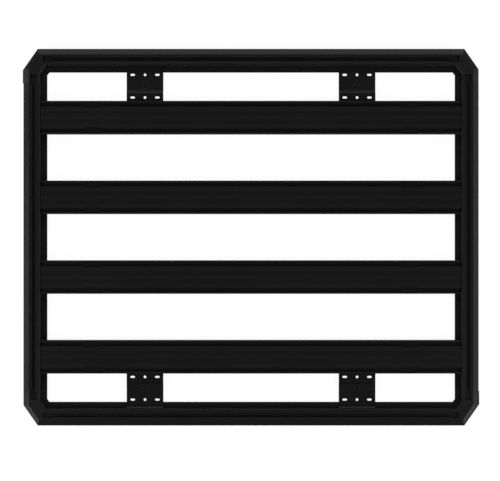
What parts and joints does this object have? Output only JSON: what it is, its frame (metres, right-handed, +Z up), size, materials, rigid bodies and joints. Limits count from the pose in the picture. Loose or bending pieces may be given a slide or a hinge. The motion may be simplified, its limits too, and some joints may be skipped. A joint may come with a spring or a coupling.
{
  "type": "flat platform roof rack",
  "caption": "Flat black roof rack platform: slotted edge rails with cast corners around lengthwise slotted planks, with drilled plates for crossbar feet.",
  "frame": {"origin": "under the middle of the rack, on the plane of the rails' underside", "axes": "+X to the front of the vehicle, along the planks; +Y to the vehicle's left; +Z up"},
  "size_m": [1.454, 1.2, 0.048],
  "materials": {
    "rails": "black powder coat, fine texture, on aluminium extrusion",
    "corner_castings": "black powder coat on cast aluminium",
    "planks": "black powder coat, fine texture, on aluminium extrusion",
    "mounting_plates": "black powder coat on aluminium plate",
    "bolts": "black coated steel"
  },
  "bodies": {
    "root": {"left_side_rail": "rails", "right_side_rail": "rails", "front_rail": "rails", "rear_rail": "rails", "front_left_corner": "corner_castings", "front_right_corner": "corner_castings", "rear_left_corner": "corner_castings", "rear_right_corner": "corner_castings", "left_outer_plank": "planks", "left_inner_plank": "planks", "right_inner_plank": "planks", "right_outer_plank": "planks", "front_left_plate": "mounting_plates", "front_right_plate": "mounting_plates", "rear_left_plate": "mounting_plates", "rear_right_plate": "mounting_plates", "front_left_plate_bolt": "bolts", "front_right_plate_bolt": "bolts", "rear_left_plate_bolt": "bolts", "rear_right_plate_bolt": "bolts"}
  },
  "joints": []
}
